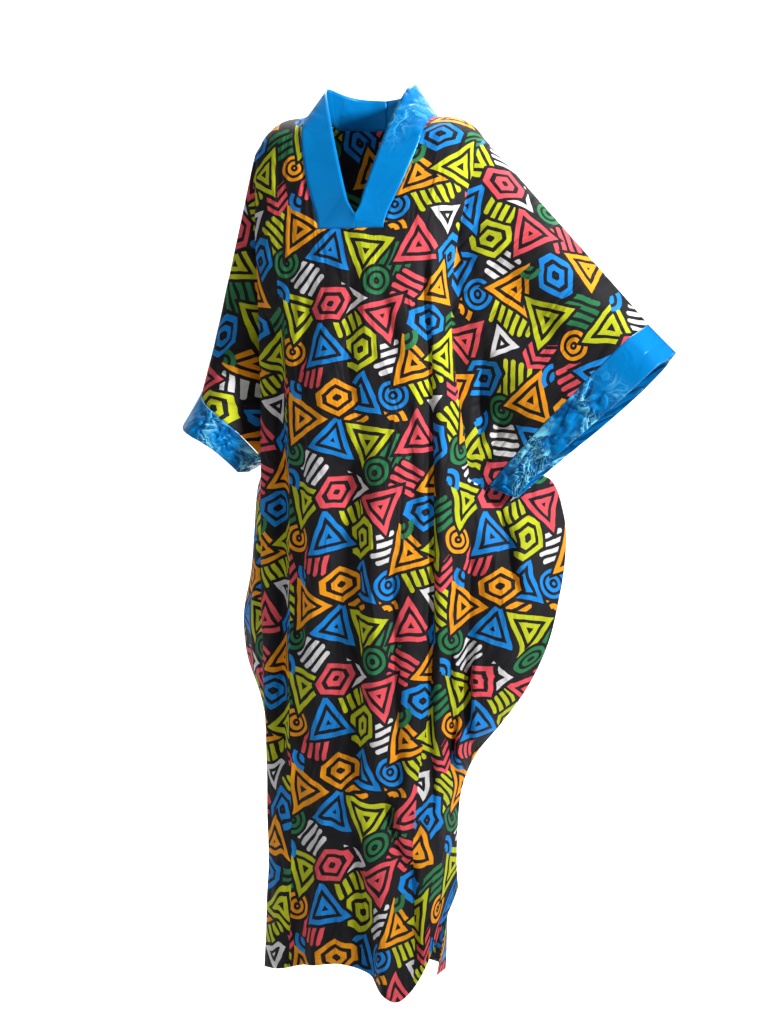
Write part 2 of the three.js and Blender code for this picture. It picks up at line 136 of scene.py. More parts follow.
# On the front of the left side the ridge and the valley lie further in below the shoulder.
LEFT_FOLD_X = table(
    "drop ridge valley",
    [
        (0, 178, 194),
        (60, 176, 190),
        (140, 163, 176),
        (220, 150, 161),
        (300, 145, 154),
        (400, 148, 158),
        (480, 157, 169),
        (560, 169, 181),
        (620, 176, 186),
        (800, 178, 188),
    ],
)
# Half of the neck opening across, and below it the line that carries on from its edge.
NECK_X = {
    "front": table("drop x", [(0, 112), (50, 106), (120, 83), (190, 56), (400, 60), (1430, 60)]),
    "back": table("drop x", [(0, 112), (6, 108), (18, 94), (120, 74), (1430, 62)]),
}
# How far the cloth stands out from the middle plane of the figure, at its middle, at the pressed
# line, at the ridge and at the valleys of the left and the right side.
BODY_DEPTH = {
    "front": table(
        "drop middle line ridge left right",
        [
            (0, 62, 58, 52, 48, 48),
            (60, 86, 72, 58, 50, 46),
            (120, 104, 88, 72, 54, 40),
            (200, 120, 100, 84, 54, 30),
            (290, 128, 104, 86, 52, 24),
            (400, 124, 98, 80, 48, 20),
            (520, 118, 90, 70, 44, 16),
            (640, 116, 84, 62, 38, 12),
            (800, 118, 84, 60, 38, 10),
            (1000, 122, 90, 66, 42, 24),
            (1200, 126, 96, 74, 48, 40),
            (1430, 132, 104, 82, 54, 50),
        ],
    ),
    "back": table(
        "drop middle line ridge left right",
        [
            (0, 62, 58, 52, 48, 48),
            (60, 84, 74, 64, 56, 58),
            (120, 98, 86, 74, 60, 68),
            (200, 106, 94, 80, 62, 76),
            (300, 104, 92, 80, 62, 80),
            (450, 98, 86, 76, 60, 80),
            (600, 102, 86, 76, 62, 82),
            (800, 110, 92, 80, 66, 84),
            (1000, 112, 94, 80, 66, 78),
            (1200, 108, 88, 72, 58, 72),
            (1430, 104, 84, 66, 52, 70),
        ],
    ),
}
# How far the shoulder falls away from the side of the neck. Towards the middle it rises.
SHOULDER_FALL = table(
    "x fall", [(0, -14), (60, -10), (112, 0), (150, 4), (178, 21), (196, 42), (400, 42)]
)
# Each sleeve's end: its upper corner, the way the cuff runs on at the top and low down, and the
# loop of the edge from the top to the underarm.
ARMS = {
    LEFT: {
        "top": (463, 0, -344),
        "along": (0.7, 0, -0.71),
        "along_low": (0.86, 0.05, -0.3),
        "line": table(
            "part inward down front back",
            [
                (0, 0, 0, 0, 0),
                (0.08, 24, 23, -34, 32),
                (0.25, 70, 70, -45, 44),
                (0.5, 138, 138, -44, 44),
                (0.75, 204, 204, -36, 30),
                (0.9, 242, 244, -28, 4),
                (1, 264, 268, -18, -18),
            ],
        ),
    },
    RIGHT: {
        "top": (-306, 25, -432),
        "along": (-0.45, 0.1, -0.7),
        "along_low": (-0.75, -0.45, -0.5),
        "line": table(
            "part inward down front back",
            [
                (0, 0, 0, 25, 25),
                (0.08, 4, 8, -16, 64),
                (0.25, 22, 26, -64, 112),
                (0.5, 56, 50, -92, 138),
                (0.75, 90, 82, -74, 122),
                (0.9, 104, 112, -32, 74),
                (1, 108, 136, 14, 14),
            ],
        ),
    },
}
# The loose cloth at each side below the sleeve: its edge, how far back its seam lies, how much it
# is lifted, and how far out its front and its back bulge.
WINGS = {
    LEFT: table(
        "drop edge seam lift front back",
        [
            (604, 246, 18, 6, -8, 44),
            (622, 286, 54, 34, 14, 74),
            (670, 316, 46, 22, -8, 76),
            (720, 324, 28, 8, -26, 68),
            (790, 316, 14, 0, -36, 60),
            (860, 300, 8, 0, -40, 56),
            (930, 268, 4, 0, -42, 56),
            (990, 226, 2, 0, -42, 58),
            (1045, 182, 0, 0, -36, 50),
            (1100, 158, 0, 0, -28, 42),
            (1160, 150, 0, 0, -24, 36),
            (1235, 148, 0, 0, -22, 32),
            (1430, 154, 2, 0, -24, 34),
        ],
    ),
    RIGHT: table(
        "drop edge seam lift front back",
        [
            (604, 216, 38, 22, -2, 66),
            (622, 236, 60, 10, 8, 84),
            (690, 250, 76, 0, 16, 92),
            (760, 258, 80, 0, 20, 96),
            (840, 272, 78, 0, 22, 96),
            (910, 262, 70, 0, 16, 92),
            (970, 234, 58, 0, 10, 84),
            (1030, 208, 46, 0, 2, 78),
            (1100, 186, 38, 0, -6, 72),
            (1235, 184, 32, 0, -10, 66),
            (1430, 190, 28, 0, -12, 62),
        ],
    ),
}
# How much higher the front's hem is than the back's, from the right to the left.
HEM_RISE = table(
    "x rise",
    [
        (-206, 10),
        (-130, 20),
        (-60, 40),
        (0, 46),
        (38, 30),
        (66, 6),
        (84, -8),
        (104, 8),
        (122, 40),
        (138, 90),
        (156, 170),
    ],
)
# Folds along the sleeves, at a share of the way from the top to the underarm.
SLEEVE_FOLDS = {
    "front": table("part width depth", [(0.3, 0.06, 7), (0.52, 0.07, -6), (0.72, 0.06, 9)]),
    "back": table("part width depth", [(0.26, 0.07, 8), (0.48, 0.06, -5), (0.66, 0.07, 8)]),
}
# Long folds down the body: a trough, or with a negative depth a ridge.
FOLDS = {
    "front": table(
        "top low start end width depth",
        [
            (18, 30, 420, 1080, 16, 9),
            (-44, -58, 330, 900, 20, -5),
            (72, 88, 520, 1180, 15, 6),
            (-92, -100, 620, 1430, 16, 5),
            (38, 92, 1040, 1180, 14, 7),
            (72, 84, 1180, 1430, 16, -10),
            (-34, -20, 980, 1430, 22, 6),
            (108, 96, 900, 1120, 12, 6),
            (136, 136, 300, 1260, 9, 7),
            (-136, -136, 300, 1120, 9, 7),
        ],
    ),
    "back": table(
        "top low start end width depth",
        [
            (-14, 6, 160, 1430, 24, 11),
            (60, 78, 240, 1430, 20, 10),
            (-74, -92, 260, 1430, 22, 10),
            (112, 124, 300, 1100, 14, 8),
            (-118, -128, 320, 1200, 14, 8),
            (30, 40, 700, 1430, 18, -7),
        ],
    ),
}


def clamp(t):
    return min(max(t, 0.0), 1.0)


def mix(a, b, t):
    return a + (b - a) * t


def smooth(t):
    return t * t * (3 - 2 * t)


def hill(distance, reach):
    """From 1 at a place to nearly nothing at twice the reach."""
    return math.exp(-((distance / reach) ** 2))


def rounded(down, radius):
    """The way out along a quarter of a circle, from 0 at its top to 1 at its side."""
    return math.sqrt(1 - (1 - min(down / radius, 1)) ** 2)


OUT_OF_REACH = 12  # beyond this a fold's slope is too small to count


def fold_depth(face, x, drop):
    """How far the long folds of the body lie in at one place."""
    total = 0.0
    for fold in FOLDS[face]:
        way_down = clamp((drop - fold["start"]) / (fold["end"] - fold["start"]))
        middle = mix(fold["top"], fold["low"], way_down)
        across = ((x - middle) / fold["width"]) ** 2
        if across > OUT_OF_REACH:
            continue
        opened = smooth(clamp((drop - fold["start"]) / FOLD_FADES))
        shut = 1 if fold["end"] >= LENGTH else smooth(clamp((fold["end"] - drop) / FOLD_FADES))
        total += fold["depth"] * opened * shut * math.exp(-across)
    return total


def body_line(face, way, drop, columns):
    """Points of half the body at one drop, at columns from 0, its middle, to the valley."""
    off = NECK_OFF * clamp(1 - drop / NECK_DROP) if way < 0 else 0
    sway = way * NECK_SWAY * clamp(drop / NECK_DROP) if face == "front" else 0
    folded = face == "front" and way > 0 and drop < LEFT_FOLD_X[-1]["drop"]
    stops = [0, read(NECK_X[face], "x", "drop", drop) * (1 - off) + sway, read(BODY_X, "line", "drop", drop)]
    stops += [read(LEFT_FOLD_X if folded else BODY_X, key, "drop", drop) for key in ("ridge", "valley")]
    share = read(BODY_X, face, "drop", drop) if way > 0 else 1
    side = "left" if way > 0 else "right"
    middle, line, ridge, valley = [
        read(BODY_DEPTH[face], key, "drop", drop) for key in ("middle", "line", "ridge", side)
    ]
    fade = smooth(clamp(1 - drop / FALL_FADES))
    points = []
    for column in columns:
        i = min(int(column), VALLEY - 1)
        x = mix(stops[i], stops[i + 1], column - i)
        if column <= LINE:
            depth = mix(middle, line, (x / stops[LINE]) ** 2)
        elif column <= RIDGE:
            depth = mix(line, ridge, (column - LINE) ** RIDGE_CURVE)
        else:
            depth = mix(ridge, valley, column - RIDGE)
        depth -= fold_depth(face, x * way, drop)
        lead = NECK_LEAD * clamp(1 - x / NECK_HALF)
        raised = RIGHT_RAISE * smooth(clamp(x / NECK_HALF)) if way < 0 else 0
        fall = (read(SHOULDER_FALL, "fall", "x", x) - raised) * fade if fade else 0
        y = OUT[face] * depth * rounded(drop + lead, SHOULDER_ROUND)
        points.append(Vector((x * share * way, y, -drop - fall)))
    return points


def cuff_point(face, way, part):
    """A point of the sleeve's edge, from its top, part 0, to the underarm, part 1."""
    arm = ARMS[way]
    inward, down, front, back = [
        read(arm["line"], key, "part", part) for key in ("inward", "down", "front", "back")
    ]
    middle = (front + back) / 2
    turn = rounded(part * SLEEVE_OPENING, CUFF_ROUND)
    y = mix(arm["top"][1], middle, turn) + ((front if face == "front" else back) - middle) * turn
    return Vector((arm["top"][0] - way * inward, y, arm["top"][2] - down))


def sleeve_line(face, way, drop, valley, columns):
    """Points from the valley beside the body out to the sleeve's edge."""
    part = drop / UNDERARM_DROP
    end = cuff_point(face, way, part)
    wave = sum(f["depth"] * hill(part - f["part"], f["width"]) for f in SLEEVE_FOLDS[face])
    points = []
    for column in columns:
        along = column - VALLEY
        point = valley.lerp(end, along)
        point.y -= OUT[face] * wave * smooth(clamp(along * 1.6)) * clamp((1 - along) * 3)
        points.append(point)
    return points


def wing_line(face, way, drop, valley, columns):
    """Points from the valley out to the bulging edge of the loose cloth at the side."""
    edge, seam, lift, swell = [read(WINGS[way], key, "drop", drop) for key in ("edge", "seam", "lift", face)]
    opened = clamp((drop - SLIT_DROP) / (LENGTH - SLIT_DROP))
    tuck = BACK_TUCK * opened if face == "back" and way > 0 else 0
    edge_x = way * (edge - tuck)
    edge_y = seam + OUT[face] * SLIT_OPEN[face] * opened
    pull = 2 * swell - (valley.y + edge_y) / 2
    points = []
    for column in columns:
        along = column - VALLEY
        rest = 1 - along
        y = rest * rest * valley.y + 2 * along * rest * pull + along * along * edge_y
        points.append(Vector((mix(valley.x, edge_x, along), y, valley.z + lift * along * along)))
    return points


def cloth_line(face, way, drop, columns):
    """Points of half a panel at one drop, at columns from 0, its middle, to its edge."""
    inner = [c for c in columns if c <= VALLEY]
    outer = [c for c in columns if c > VALLEY]
    points = body_line(face, way, drop, inner + [VALLEY])
    valley = points.pop()
    if drop <= UNDERARM_DROP:
        points += sleeve_line(face, way, drop, valley, outer)
    elif drop >= WING_TOP:
        points += wing_line(face, way, drop, valley, outer)
    else:
        above = body_line(face, way, UNDERARM_DROP, [VALLEY])[0]
        below = body_line(face, way, WING_TOP, [VALLEY])[0]
        upper = sleeve_line(face, way, UNDERARM_DROP, above, outer)
        lower = wing_line(face, way, WING_TOP, below, outer)
        t = (drop - UNDERARM_DROP) / (WING_TOP - UNDERARM_DROP)
        points += [a.lerp(b, t) for a, b in zip(upper, lower)]
    if face == "front" and drop > SLIT_DROP:
        low = (drop - SLIT_DROP) / (LENGTH - SLIT_DROP)
        for point in points:
            point.z += read(HEM_RISE, "rise", "x", point.x) * low
    return points


def steps(*stops):
    """Even steps through pairs of a value and how many steps lead on from it."""
    values = []
    for (value, count), (nxt, _) in zip(stops, stops[1:]):
        values += [mix(value, nxt, i / count) for i in range(count)]
    return values + [stops[-1][0]]


# The rows and columns of a panel's cells. They are closest over the shoulder, where it bends most.
SHOULDER_LOW = 66  # from this drop on the rows are evenly spaced
NECK_CELLS = 10  # from the middle to the edge of the neck opening
DROPS = [0, 0.7, 2, 4, 7, 10.5, 14, NAPE_DROP, 22, 27, 33, 40, 48, 57]
DROPS += steps(
    (SHOULDER_LOW, 17), (NECK_DROP, 54), (UNDERARM_DROP, 3), (WING_TOP, 86), (SLIT_DROP, 27), (LENGTH, 0)
)
HALF = steps((0, NECK_CELLS), (NECK, 14), (LINE, 8), (RIDGE, 8), (VALLEY, 48), (EDGE, 0))


def panel_grid(face):
    """The panel as rows of points from its right edge to its left edge, in millimetres."""
    rows = []
    for drop in DROPS:
        right = cloth_line(face, RIGHT, drop, HALF)
        left = cloth_line(face, LEFT, drop, HALF)
        rows.append(right[:0:-1] + left)
    return np.array([[tuple(p) for p in row] for row in rows])


def kept_cells(face):
    """Which cells of the panel there are: those over the neck opening are cut out."""
    rows = len(DROPS) - 1
    half = len(HALF) - 1
    kept = np.ones((rows, 2 * half), bool)
    neck = DROPS.index(NECK_DROP if face == "front" else NAPE_DROP)
    kept[:neck, half - NECK_CELLS : half + NECK_CELLS] = False
    return kept


# Creases pressed or pulled into the cloth: from one place to another, in x and z, with the
# distance over which they fall away on the side of the wearer's right and on that of the left. A
# positive depth is a trough and a negative one a ridge.
CREASES = {
    "front": table(
        "x0 z0 x1 z1 right left depth",
        [
            (6, -540, 12, -1100, 46, 9, 22),
            (14, -1010, -40, -1180, 9, 24, 9),
            (84, -1120, 24, -1270, 9, 22, -8),
            (-96, -960, -40, -1110, 22, 9, 8),
            (112, -560, 60, -720, 10, 26, 8),
            (-30, -470, 40, -640, 24, 10, 7),
            (40, -600, 46, -1060, 18, 26, -8),
            (50, -1080, 92, -1240, 26, 9, 17.5),
            (10, -1130, 44, -1448, 30, 12, 19),
            (66, -1210, 74, -1452, 16, 12, -12),
            (98, -1180, 108, -1400, 22, 8, 15),
            (-58, -1080, -84, -1440, 30, 10, 12),
            (-20, -760, -36, -1120, 30, 11, 9.5),
            (-84, -520, -92, -900, 22, 9, 8),
            (66, -700, 82, -1120, 22, 8, 11),
            (98, -430, 108, -760, 20, 8, 8),
            (54, -250, 92, -430, 20, 8, 8),
            (-60, -250, -92, -450, 8, 20, 7),
            (10, -240, 4, -520, 24, 12, 7),
            (128, -210, 129, -1250, 10, 5, 12),
            (147, -230, 149, -1240, 9, 12, -7),
            (158, -840, 152, -1200, 7, 6, 12),
            (171, -830, 165, -1160, 6, 6, -9.5),
            (184, -860, 178, -1110, 7, 6, 11),
            (197, -820, 194, -1030, 6, 8, -8),
            (-113, -240, -112, -1060, 3.2, 3.2, -4),
            (-130, -290, -129, -1080, 22, 13, 17.5),
            (188, -560, 210, -380, 14, 7, 15),
            (196, -572, 262, -450, 9, 7, 11),
            (210, -604, 240, -720, 16, 9, 15),
            (232, -640, 262, -800, 16, 10, 11),
            (256, -660, 280, -800, 12, 16, -8),
            (-196, -640, -214, -860, 16, 9, 12),
            (-216, -700, -232, -900, 12, 12, -7),
        ],
    ),
    "back": table(
        "x0 z0 x1 z1 right left depth",
        [
            (-20, -420, -4, -1200, 14, 38, 17.5),
            (40, -560, 62, -1420, 30, 12, 16),
            (-88, -520, -104, -1430, 12, 28, 15),
            (92, -220, 112, -520, 10, 18, 9.5),
            (-96, -230, -112, -560, 18, 10, 9.5),
            (0, -160, -30, -420, 18, 12, 8),
            (26, -900, 30, -1430, 16, 16, -9.5),
            (136, -330, 138, -1250, 3.2, 3.2, 5.5),
            (-113, -330, -112, -1060, 3.2, 3.2, 5.5),
            (-132, -330, -131, -1080, 10, 16, 11),
            (190, -560, 226, -400, 7, 14, 15),
            (200, -590, 300, -500, 6, 9, 11),
            (222, -640, 262, -780, 12, 14, 12),
            (160, -840, 154, -1180, 7, 6, 11),
            (176, -850, 170, -1120, 6, 6, -8),
            (-198, -620, -216, -820, 12, 12, 12),
        ],
    ),
}


CREASE_ENDS = 60  # the length over which a crease fades at its ends, and all of them at the shoulder
SIDES_FADE = 12  # and over a twelfth of a half panel at its side edge
HIGHEST = -16  # the most that creases may add up to
DEEPEST = 22
# The slight unevenness of worn cloth: the size of its waves across and down, and their height.
SOFT_WAVES = (55, 130)
SOFT_RISE = 3.6
FINE_WAVES = (13, 52)
FINE_RISE = 1.1
# The loose cloth at the sides is drawn together in small creases, most around this place.
GATHER_DROP = 1030
GATHER_REACH = 190
GATHER_X = 176
GATHER_WIDE = 30
GATHER_LEAST = 1.2
GATHER_RISE = 4.6


def waves(x, z, layer, size):
    return noise.noise(Vector((x / size[0], layer, z / size[1])))


def creased(points, face):
    """The points moved in and out by the creases and by the slight unevenness of worn cloth."""
    x = points[:, :, 0]
    z = points[:, :, 2]
    move = np.zeros_like(x)
    for crease in CREASES[face]:
        dx = crease["x1"] - crease["x0"]
        dz = crease["z1"] - crease["z0"]
        length = math.hypot(dx, dz)
        t = ((x - crease["x0"]) * dx + (z - crease["z0"]) * dz) / length
        side = ((x - crease["x0"]) * -dz + (z - crease["z0"]) * dx) / length
        wide = np.where(side < 0, crease["right"], crease["left"])
        ends = np.clip(t / CREASE_ENDS, 0, 1) * np.clip((length - t) / CREASE_ENDS, 0, 1)
        move += crease["depth"] * np.exp(-((side / wide) ** 2)) * smooth(ends)
    for r in range(points.shape[0]):
        gathered = GATHER_LEAST + GATHER_RISE * hill(DROPS[r] - GATHER_DROP, GATHER_REACH)
        for c in range(points.shape[1]):
            px, pz = x[r, c], z[r, c]
            rise = FINE_RISE + gathered * hill(abs(px) - GATHER_X, GATHER_WIDE)
            move[r, c] += SOFT_RISE * waves(px, pz, OUT[face] * 3.0, SOFT_WAVES)
            move[r, c] += rise * waves(px, pz, OUT[face] * 7.0, FINE_WAVES)
    move *= np.clip(np.array(DROPS) / CREASE_ENDS, 0, 1)[:, None]
    move = np.clip(move, HIGHEST, DEEPEST)
    edge = np.abs(np.linspace(-1, 1, points.shape[1]))
    move *= np.clip((1 - edge) * SIDES_FADE, 0, 1)[None, :]
    result = points.copy()
    result[:, :, 1] -= OUT[face] * move
    return result


def softened(points, rounds):
    """The points drawn towards their neighbours, except at the edges of the sheet."""
    result = points.copy()
    for _ in range(rounds):
        across = (result[1:-1, :-2] + result[1:-1, 2:]) / 2
        down = (result[:-2, 1:-1] + result[2:, 1:-1]) / 2
        result[1:-1, 1:-1] = result[1:-1, 1:-1] * 0.5 + (across + down) / 4
    return result


RIGHT_LINE = 20  # the column of the pressed line on the right, which lies nearer the middle
LEVEL_DROP = 230  # the print is level across the panel at this drop
TUCK = 35  # how much cloth the tuck along each pressed line takes up
TUCK_DROP = 280  # where the tucks begin
TUCK_GROWS = 300  # and the length over which they grow
LOW_TURN = 0.3  # how much of the sleeve's turning counts below the shoulder


def flat_places(points):
    """Where the cloth lies when it is laid flat, in metres, and which layout each cell follows.

    Layout 0 is the middle of the panel, 1 is the cloth beyond the pressed lines, where a tuck
    takes some of it up, and 2 and 3 are the right and the left sleeve along their own arms.
    """
    half = len(HALF) - 1
    across = np.linalg.norm(np.diff(points, axis=1), axis=2)
    u = np.zeros(points.shape[:2])
    u[:, half + 1 :] = np.cumsum(across[:, half:], axis=1)
    u[:, :half] = -np.cumsum(across[:, :half][:, ::-1], axis=1)[:, ::-1]
    down = np.zeros(points.shape[:2])
    down[1:] = np.cumsum(np.linalg.norm(np.diff(points, axis=0), axis=2), axis=0)
    drops = np.array(DROPS)
    level = int(np.argmin(np.abs(drops - LEVEL_DROP)))
    down += down[level, half + HALF.index(LINE)] - down[level]
    low = DROPS.index(UNDERARM_DROP)
    valley = HALF.index(VALLEY)
    sides = {half - valley: slice(0, half - valley), half + valley: slice(half + valley + 1, None)}
    for inner, side in sides.items():
        drop = points[low:, inner, 2, None] - points[low:, side, 2]
        down[low:, side] = down[low:, inner, None] + drop
    taken = TUCK * smooth(np.clip((drops - TUCK_DROP) / TUCK_GROWS, 0, 1))
    layouts = [np.stack([u, -down], axis=2)]
    layouts.append(np.stack([u + np.sign(u) * taken[:, None], -down], axis=2))
    for way in (RIGHT, LEFT):
        shoulder = points[0, half + way * valley]
        arm = points[0, half + way * half] - shoulder
        arm /= np.linalg.norm(arm)
        below = way * np.array([arm[2], 0, -arm[0]])
        below /= np.linalg.norm(below)
        step = np.diff(points, axis=0)
        step -= (step @ arm)[:, :, None] * arm
        turned = np.linalg.norm(step, axis=2) - np.abs(step @ below)
        turned[DROPS.index(SHOULDER_LOW) :] *= LOW_TURN
        around = (points - shoulder) @ below
        around[1:] += np.cumsum(turned, axis=0)
        out = (points - shoulder) @ arm + abs(u[0, half + way * valley])
        layouts.append(np.stack([way * out, -around], axis=2))
    layout = np.zeros((len(DROPS) - 1, 2 * half), int)
    layout[:, : half - RIGHT_LINE] = 1
    layout[:, half + HALF.index(LINE) :] = 1
    layout[:low, : half - valley] = 2
    layout[:low, half + valley :] = 3
    return [places * MM for places in layouts], layout


def put_in_scene(name, data):
    made = bpy.data.objects.new(name, data)
    bpy.context.scene.collection.objects.link(made)
    return made


def finished_piece(name, bm, material):
    """The shape as one smooth piece in the scene."""
    for face in bm.faces:
        face.smooth = True
    mesh = bpy.data.meshes.new(name)
    bm.to_mesh(mesh)
    bm.free()
    mesh.materials.append(material)
    return put_in_scene(name, mesh)


def sheet(name, points, layouts, layout, kept, flip, thickness, material):
    """A grid of points in millimetres, as a thin piece of cloth with its place in the mesh."""
    rows, columns = points.shape[:2]
    bm = bmesh.new()
    bmesh.ops.create_grid(bm, x_segments=columns - 1, y_segments=rows - 1, size=0.5)
    laid = bm.loops.layers.uv.new("Cloth")
    gone = []
    spot = {}
    for vert in bm.verts:
        c = round((vert.co.x + 0.5) * (columns - 1))
        r = round((vert.co.y + 0.5) * (rows - 1))
        spot[vert] = (r, c)
    for face in bm.faces:
        corners = [spot[v] for v in face.verts]
        cell = (min(r for r, _ in corners), min(c for _, c in corners))
        if not kept[cell]:
            gone.append(face)
            continue
        places = layouts[layout[cell]]
        for loop in face.loops:
            loop[laid].uv = places[spot[loop.vert]]
    for vert, (r, c) in spot.items():
        vert.co = Vector(points[r, c]) * MM
    bmesh.ops.delete(bm, geom=gone, context="FACES")
    if flip:
        bmesh.ops.reverse_faces(bm, faces=bm.faces)
    piece = finished_piece(name, bm, material)
    wall = piece.modifiers.new("cloth thickness", "SOLIDIFY")
    wall.thickness = thickness * MM
    wall.offset = 1
    return piece


# Inks, print and finishes.


def linear(red, green, blue):
    """A colour given from 0 to 255 as the eye sees it."""
    parts = [v / 255 for v in (red, green, blue)]
    return tuple(p / 12.92 if p <= 0.04045 else ((p + 0.055) / 1.055) ** 2.4 for p in parts) + (1.0,)


INK = {
    "ground": linear(17, 14, 20),
    "lime": linear(196, 204, 22),
    "blue": linear(10, 138, 226),
    "amber": linear(250, 160, 8),
    "coral": linear(238, 82, 94),
    "green": linear(38, 124, 74),
    "white": linear(226, 224, 226),
}
# One repeat of the print: the kind of figure, its middle in millimetres, its size, its turn in
# degrees and its ink.
REPEAT = (300, 264)
FIGURES = table(
    "kind x y size turn ink",
    [
        ("bars", 60, 22, 30, 20, "green"),
        ("bars", 184, 60, 30, -48, "lime"),
        ("bars", 4, 62, 30, 64, "amber"),
        ("bars", 122, 118, 30, -30, "lime"),
        ("bars", 244, 134, 28, 12, "coral"),
        ("bars", 62, 150, 26, 74, "white"),
        ("bars", 182, 196, 28, 58, "green"),
        ("bars", 300, 204, 28, -22, "lime"),
        ("bars", 90, 246, 26, -64, "coral"),
        ("bars", 240, 262, 26, 40, "white"),
        ("triangle", 28, 34, 21.5, 8, "lime"),
        ("arcs", 64, 60, 22, -70, "amber"),
        ("triangle", 102, 40, 21, 176, "coral"),
        ("hexagon", 156, 26, 24, 14, "blue"),
        ("circle", 206, 20, 20, 0, "green"),
        ("triangle", 226, 66, 22, 30, "amber"),
        ("triangle", 276, 36, 20.5, 196, "blue"),
        ("triangle", 18, 98, 20.5, 190, "blue"),
        ("circle", 66, 98, 21, 0, "blue"),
        ("triangle", 140, 82, 13.5, -8, "white"),
        ("chevron", 186, 108, 20, 168, "coral"),
        ("hexagon", 284, 96, 23, 84, "amber"),
        ("triangle", 96, 142, 21.5, 44, "amber"),
        ("triangle", 156, 152, 22, 204, "lime"),
        ("arcs", 226, 112, 20, 150, "blue"),
        ("hexagon", 22, 162, 23, 28, "lime"),
        ("circle", 210, 160, 20, 0, "amber"),
        ("triangle", 266, 164, 21, 170, "blue"),
        ("triangle", 54, 208, 20.5, -14, "coral"),
        ("hexagon", 122, 200, 23.5, 98, "blue"),
        ("triangle", 6, 232, 13.5, 30, "white"),
        ("triangle", 226, 214, 22, 16, "lime"),
        ("arcs", 86, 180, 19, 30, "green"),
        ("circle", 44, 256, 19, 0, "green"),
        ("triangle", 140, 246, 20, 186, "amber"),
        ("hexagon", 276, 226, 22, 62, "coral"),
        ("arcs", 190, 240, 21, -30, "blue"),
    ],
)
STROKE = 0.0067  # the width of the print's lines, in metres
PITCH = 0.0116  # from one line to the next
CLEAR = 0.0045  # how much black is left round a figure
WANDER = 0.0034  # how far the print's lines wander
PRINT_SCALE = 1.16
# The proportions of the figures, as shares of their size or of the lines above.
BAR_REACH = 0.84  # half of the longest bar
BAR_STEP = 0.0036  # how much shorter, in metres, each bar is than its neighbour nearer the middle
CHEVRON_SLOPE = 0.75
CHEVRON_WIDE = 0.9
CHEVRON_PITCH = 1.15
CHEVRON_INKED = 0.56
HEXAGON_SIDES = (0.74, 1, 1)  # one pair of a hexagon's sides lies further out than the others
RING_PITCH = 0.8
RING_STROKE = 0.78
ARC_FAN = 0.5  # the cosine of the angle that the arcs reach to each side
ARC_BAND = 0.81  # half of the width of a pair of arcs
BACK_PRINT = (0.13, 0.09)  # how far the print of the back is from that of the front, in metres


class Tree:
    """Adds nodes and their links to one node tree."""

    def __init__(self, tree):
        self.tree = tree

    def node(self, kind, **settings):
        made = self.tree.nodes.new(kind)
        for key, value in settings.items():
            setattr(made, key, value)
        return made

    def put(self, socket, value):
        if isinstance(value, bpy.types.NodeSocket):
            self.tree.links.new(value, socket)
        else:
            socket.default_value = value

    def math(self, operation, *values):
        made = self.node("ShaderNodeMath", operation=operation)
        for socket, value in zip(made.inputs, values):
            self.put(socket, value)
        return made.outputs[0]

    def vector(self, operation, *values, scale=None):
        made = self.node("ShaderNodeVectorMath", operation=operation)
        for socket, value in zip(made.inputs, values):
            self.put(socket, value)
        if scale is not None:
            self.put(made.inputs["Scale"], scale)
        return made.outputs["Value" if operation in ("DOT_PRODUCT", "LENGTH") else "Vector"]

    def noise(self, place, scale, detail, distortion=0.0, dimensions="2D"):
        made = self.node("ShaderNodeTexNoise", noise_dimensions=dimensions)
        self.put(made.inputs["Vector"], place)
        made.inputs["Scale"].default_value = scale
        made.inputs["Detail"].default_value = detail
        made.inputs["Distortion"].default_value = distortion
        return made.outputs

    def rise(self, value, start, full):
        """How far a value is from start to full, from 0 to 1 and smooth at both."""
        made = self.node("ShaderNodeMapRange", interpolation_type="SMOOTHSTEP")
        self.put(made.inputs["Value"], value)
        made.inputs["From Min"].default_value = start
        made.inputs["From Max"].default_value = full
        return made.outputs["Result"]

    def bump(self, height, distance, normal=None):
        made = self.node("ShaderNodeBump")
        made.inputs["Distance"].default_value = distance
        self.put(made.inputs["Height"], height)
        if normal:
            self.put(made.inputs["Normal"], normal)
        return made.outputs["Normal"]

    def blend(self, share, under, over):
        made = self.node("ShaderNodeMix", data_type="RGBA")
        self.put(made.inputs["Factor"], share)
        self.put(made.inputs["A"], under)
        self.put(made.inputs["B"], over)
        return made.outputs["Result"]


def direction(turn):
    """The way that an angle in degrees points."""
    return (math.cos(math.radians(turn)), math.sin(math.radians(turn)), 0)


